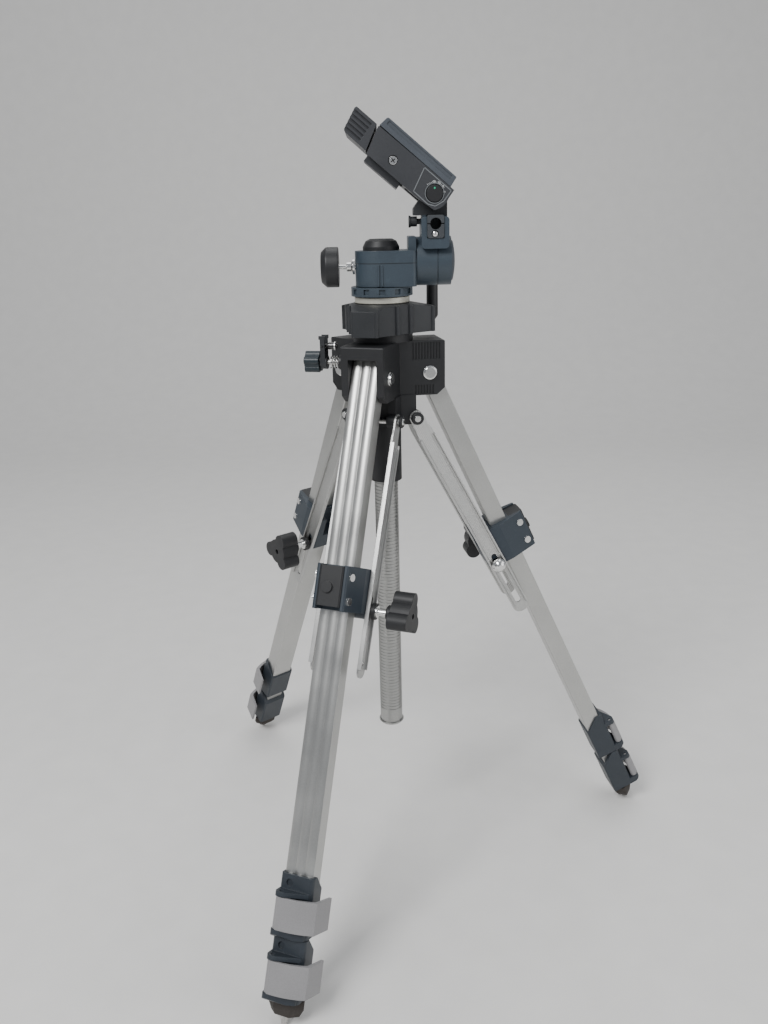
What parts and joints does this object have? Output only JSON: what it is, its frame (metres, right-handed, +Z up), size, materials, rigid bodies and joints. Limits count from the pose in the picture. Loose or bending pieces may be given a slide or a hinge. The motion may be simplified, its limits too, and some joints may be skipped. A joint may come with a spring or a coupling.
{
  "type": "tripod with fluid head",
  "caption": "Folding video tripod with telescopic flip-lock legs, side braces, geared centre column and a fluid pan and tilt head with a flip-up camera platform.",
  "frame": {"origin": "on the floor, under the axis of the centre column", "axes": "+Z up the centre column, X along the tilt axis towards the drum side of the head, -Y towards the operator"},
  "size_m": [0.4447, 0.4648, 0.6929],
  "materials": {
    "leg_metal": "satin anodised",
    "tube_metal": "satin",
    "spike_steel": "worn",
    "blue_plastic": "satin moulded",
    "lock_plastic": "satin moulded",
    "lever_plastic": "satin",
    "black_plastic": "fine texture",
    "gloss_black": "polished",
    "dark_plastic": "satin",
    "bolt_steel": "polished",
    "disc_metal": "matt",
    "foot_rubber": "matt"
  },
  "bodies": {
    "centre": {"spider_casting": "black_plastic", "pivot_bolts": "bolt_steel", "column_guide_sleeve": "black_plastic", "shoulder": "dark_plastic"},
    "front_leg_upper": {"front_leg_upper_tube": "leg_metal", "front_leg_upper_lock": "lock_plastic", "front_leg_brace_collar": "blue_plastic"},
    "front_leg_middle": {"front_leg_middle_tube": "tube_metal", "front_leg_lower_lock": "lock_plastic"},
    "front_leg_lower": {"front_leg_lower_tube": "tube_metal", "front_leg_foot": "foot_rubber"},
    "front_leg_upper_lever": {"front_leg_upper_lever": "lever_plastic"},
    "front_leg_lower_lever": {"front_leg_lower_lever": "lever_plastic"},
    "front_leg_brace": {"front_leg_brace_bars": "leg_metal"},
    "front_leg_clamp": {"front_leg_clamp_bolt": "bolt_steel"},
    "front_leg_clamp_knob": {"front_leg_clamp_knob": "black_plastic"},
    "right_leg_upper": {"right_leg_upper_tube": "leg_metal", "right_leg_upper_lock": "lock_plastic", "right_leg_brace_collar": "blue_plastic"},
    "right_leg_middle": {"right_leg_middle_tube": "tube_metal", "right_leg_lower_lock": "lock_plastic"},
    "right_leg_lower": {"right_leg_lower_tube": "tube_metal", "right_leg_foot": "foot_rubber"},
    "right_leg_upper_lever": {"right_leg_upper_lever": "lever_plastic"},
    "right_leg_lower_lever": {"right_leg_lower_lever": "lever_plastic"},
    "right_leg_brace": {"right_leg_brace_bars": "leg_metal"},
    "right_leg_clamp": {"right_leg_clamp_bolt": "bolt_steel"},
    "right_leg_clamp_knob": {"right_leg_clamp_knob": "black_plastic"},
    "rear_leg_upper": {"rear_leg_upper_tube": "leg_metal", "rear_leg_upper_lock": "lock_plastic", "rear_leg_brace_collar": "blue_plastic"},
    "rear_leg_middle": {"rear_leg_middle_tube": "tube_metal", "rear_leg_lower_lock": "lock_plastic"},
    "rear_leg_lower": {"rear_leg_lower_tube": "tube_metal", "rear_leg_foot": "foot_rubber"},
    "rear_leg_upper_lever": {"rear_leg_upper_lever": "lever_plastic"},
    "rear_leg_lower_lever": {"rear_leg_lower_lever": "lever_plastic"},
    "rear_leg_brace": {"rear_leg_brace_bars": "leg_metal"},
    "rear_leg_clamp": {"rear_leg_clamp_bolt": "bolt_steel"},
    "rear_leg_clamp_knob": {"rear_leg_clamp_knob": "black_plastic"},
    "column": {"centre_column": "tube_metal", "column_end_cap": "dark_plastic", "base_disc": "disc_metal"},
    "crank": {"crank_shaft": "spike_steel", "crank_arm": "dark_plastic"},
    "crank_handle": {"crank_handle": "gloss_black"},
    "column_lock_knob": {"column_lock_knob": "blue_plastic"},
    "drag_ring": {"drag_ring": "blue_plastic"},
    "pan": {"pan_housing": "blue_plastic"},
    "pan_lock_knob": {"pan_lock_knob": "black_plastic"},
    "tilt_lock_lever": {"tilt_lock_lever": "black_plastic"},
    "tilt": {"tilt_drum": "blue_plastic", "tilt_arm": "blue_plastic", "handle_clamp": "dark_plastic", "dial_knob": "black_plastic"},
    "flip_stud": {"flip_stud": "dark_plastic"},
    "platform": {"platform_body": "dark_plastic", "camera_plate": "blue_plastic"},
    "camera_screw": {"camera_screw": "bolt_steel"},
    "release_grip": {"release_grip": "dark_plastic"}
  },
  "joints": [
    {"name": "front_leg_spread", "type": "hinge", "parent": "centre", "child": "front_leg_upper", "pos_m": [-0.01344, -0.03501, 0.48158], "axis": [-0.9336, 0.3584, 0], "range_deg": [-18, 20]},
    {"name": "front_leg_brace_swing", "type": "hinge", "parent": "centre", "child": "front_leg_brace", "pos_m": [-0.00896, -0.02334, 0.44258], "axis": [-0.9336, 0.3584, 0], "range_deg": [-22, 24.3]},
    {"name": "front_leg_clamp_slide", "type": "slide", "parent": "front_leg_brace", "child": "front_leg_clamp", "axis": [-0.1676, -0.4365, -0.884], "range_m": [-0.0098, 0.0108]},
    {"name": "front_leg_clamp_knob_turn", "type": "hinge", "parent": "front_leg_clamp", "child": "front_leg_clamp_knob", "pos_m": [-0.0365, -0.09508, 0.29729], "axis": [0.9336, -0.3584, 0], "continuous": true},
    {"name": "front_leg_middle_slide", "type": "slide", "parent": "front_leg_upper", "child": "front_leg_middle", "axis": [-0.1499, -0.3906, -0.9083], "range_m": [0, 0.335]},
    {"name": "front_leg_lower_slide", "type": "slide", "parent": "front_leg_middle", "child": "front_leg_lower", "axis": [-0.1499, -0.3906, -0.9083], "range_m": [0, 0.36]},
    {"name": "front_leg_upper_lever_flip", "type": "hinge", "parent": "front_leg_upper", "child": "front_leg_upper_lever", "pos_m": [-0.09382, -0.21651, 0.09177], "axis": [-0.1499, -0.3906, -0.9083], "range_deg": [0, 115]},
    {"name": "front_leg_lower_lever_flip", "type": "hinge", "parent": "front_leg_middle", "child": "front_leg_lower_lever", "pos_m": [-0.10111, -0.2355, 0.04762], "axis": [-0.1499, -0.3906, -0.9083], "range_deg": [0, 115]},
    {"name": "right_leg_spread", "type": "hinge", "parent": "centre", "child": "right_leg_upper", "pos_m": [0.03704, 0.00587, 0.48158], "axis": [0.1564, -0.9877, 0], "range_deg": [-18, 20]},
    {"name": "right_leg_brace_swing", "type": "hinge", "parent": "centre", "child": "right_leg_brace", "pos_m": [0.02469, 0.00391, 0.44258], "axis": [0.1564, -0.9877, 0], "range_deg": [-22, 24.3]},
    {"name": "right_leg_clamp_slide", "type": "slide", "parent": "right_leg_brace", "child": "right_leg_clamp", "axis": [0.4618, 0.0731, -0.884], "range_m": [-0.0098, 0.0108]},
    {"name": "right_leg_clamp_knob_turn", "type": "hinge", "parent": "right_leg_clamp", "child": "right_leg_clamp_knob", "pos_m": [0.10059, 0.01593, 0.29729], "axis": [-0.1564, 0.9877, 0], "continuous": true},
    {"name": "right_leg_middle_slide", "type": "slide", "parent": "right_leg_upper", "child": "right_leg_middle", "axis": [0.4132, 0.0654, -0.9083], "range_m": [0, 0.335]},
    {"name": "right_leg_lower_slide", "type": "slide", "parent": "right_leg_middle", "child": "right_leg_lower", "axis": [0.4132, 0.0654, -0.9083], "range_m": [0, 0.36]},
    {"name": "right_leg_upper_lever_flip", "type": "hinge", "parent": "right_leg_upper", "child": "right_leg_upper_lever", "pos_m": [0.23442, 0.027, 0.09177], "axis": [0.4132, 0.0654, -0.9083], "range_deg": [0, 115]},
    {"name": "right_leg_lower_lever_flip", "type": "hinge", "parent": "right_leg_middle", "child": "right_leg_lower_lever", "pos_m": [0.2545, 0.03018, 0.04762], "axis": [0.4132, 0.0654, -0.9083], "range_deg": [0, 115]},
    {"name": "rear_leg_spread", "type": "hinge", "parent": "centre", "child": "rear_leg_upper", "pos_m": [-0.0236, 0.02914, 0.48158], "axis": [0.7771, 0.6293, 0], "range_deg": [-18, 20]},
    {"name": "rear_leg_brace_swing", "type": "hinge", "parent": "centre", "child": "rear_leg_brace", "pos_m": [-0.01573, 0.01943, 0.44258], "axis": [0.7771, 0.6293, 0], "range_deg": [-22, 24.3]},
    {"name": "rear_leg_clamp_slide", "type": "slide", "parent": "rear_leg_brace", "child": "rear_leg_clamp", "axis": [-0.2942, 0.3634, -0.884], "range_m": [-0.0098, 0.0108]},
    {"name": "rear_leg_clamp_knob_turn", "type": "hinge", "parent": "rear_leg_clamp", "child": "rear_leg_clamp_knob", "pos_m": [-0.06409, 0.07915, 0.29729], "axis": [-0.7771, -0.6293, 0], "continuous": true},
    {"name": "rear_leg_middle_slide", "type": "slide", "parent": "rear_leg_upper", "child": "rear_leg_middle", "axis": [-0.2633, 0.3251, -0.9083], "range_m": [0, 0.335]},
    {"name": "rear_leg_lower_slide", "type": "slide", "parent": "rear_leg_middle", "child": "rear_leg_lower", "axis": [-0.2633, 0.3251, -0.9083], "range_m": [0, 0.36]},
    {"name": "rear_leg_upper_lever_flip", "type": "hinge", "parent": "rear_leg_upper", "child": "rear_leg_upper_lever", "pos_m": [-0.14059, 0.18951, 0.09177], "axis": [-0.2633, 0.3251, -0.9083], "range_deg": [0, 115]},
    {"name": "rear_leg_lower_lever_flip", "type": "hinge", "parent": "rear_leg_middle", "child": "rear_leg_lower_lever", "pos_m": [-0.15339, 0.20531, 0.04762], "axis": [-0.2633, 0.3251, -0.9083], "range_deg": [0, 115]},
    {"name": "column_lift", "type": "slide", "parent": "centre", "child": "column", "axis": [0, 0, 1], "range_m": [0, 0.225]},
    {"name": "crank_turn", "type": "hinge", "parent": "centre", "child": "crank", "pos_m": [-0.00316, -0.01487, 0.4915], "axis": [-0.9781, 0.2079, 0], "range_deg": [-3073, 0]},
    {"name": "crank_handle_fold", "type": "hinge", "parent": "crank", "child": "crank_handle", "pos_m": [-0.05168, -0.00456, 0.5055], "axis": [-0.2079, -0.9781, 0], "range_deg": [0, 180]},
    {"name": "column_lock_turn", "type": "hinge", "parent": "crank", "child": "column_lock_knob", "pos_m": [-0.06185, -0.00239, 0.4915], "axis": [-0.9781, 0.2079, 0], "continuous": true},
    {"name": "pan", "type": "hinge", "parent": "column", "child": "pan", "pos_m": [0, 0, 0.55], "axis": [0, 0, 1], "continuous": true},
    {"name": "drag_ring_turn", "type": "hinge", "parent": "column", "child": "drag_ring", "pos_m": [0, 0, 0.55], "axis": [0, 0, 1], "continuous": true},
    {"name": "pan_lock_turn", "type": "hinge", "parent": "pan", "child": "pan_lock_knob", "pos_m": [-0.04, 0, 0.571], "axis": [-1, 0, 0], "continuous": true},
    {"name": "tilt", "type": "hinge", "parent": "pan", "child": "tilt", "pos_m": [0.044, 0, 0.5745], "axis": [1, 0, 0], "range_deg": [-75, 60]},
    {"name": "tilt_lock_turn", "type": "hinge", "parent": "pan", "child": "tilt_lock_lever", "pos_m": [0.02, 0.014, 0.56], "axis": [0.7431, 0.6691, 0], "range_deg": [-30, 30]},
    {"name": "flip_stud_press", "type": "slide", "parent": "tilt", "child": "flip_stud", "axis": [1, 0, 0], "range_m": [0, 0.002], "stiffness_N_per_m": 400, "springref_m": -0.002},
    {"name": "platform_flip", "type": "hinge", "parent": "tilt", "child": "platform", "pos_m": [0.044, 0, 0.6278], "axis": [0, 1, 0], "range_deg": [-40, 50]},
    {"name": "camera_screw_rise", "type": "slide", "parent": "platform", "child": "camera_screw", "axis": [0.6428, 0, 0.766], "range_m": [0, 0.0055]},
    {"name": "release_press", "type": "hinge", "parent": "platform", "child": "release_grip", "pos_m": [-0.01041, 0, 0.66066], "axis": [0, -1, 0], "range_deg": [0, 14], "stiffness_Nm_per_rad": 0.6, "springref_deg": -11.46}
  ],
  "couplings": [
    {"joint": "front_leg_brace_swing", "follows": "front_leg_spread", "ratio": 1.166},
    {"joint": "front_leg_clamp_slide", "follows": "front_leg_spread", "m_per_rad": 0.0296},
    {"joint": "right_leg_brace_swing", "follows": "right_leg_spread", "ratio": 1.166},
    {"joint": "right_leg_clamp_slide", "follows": "right_leg_spread", "m_per_rad": 0.0296},
    {"joint": "rear_leg_brace_swing", "follows": "rear_leg_spread", "ratio": 1.166},
    {"joint": "rear_leg_clamp_slide", "follows": "rear_leg_spread", "m_per_rad": 0.0296},
    {"joint": "crank_turn", "follows": "column_lift", "rad_per_m": -238}
  ]
}
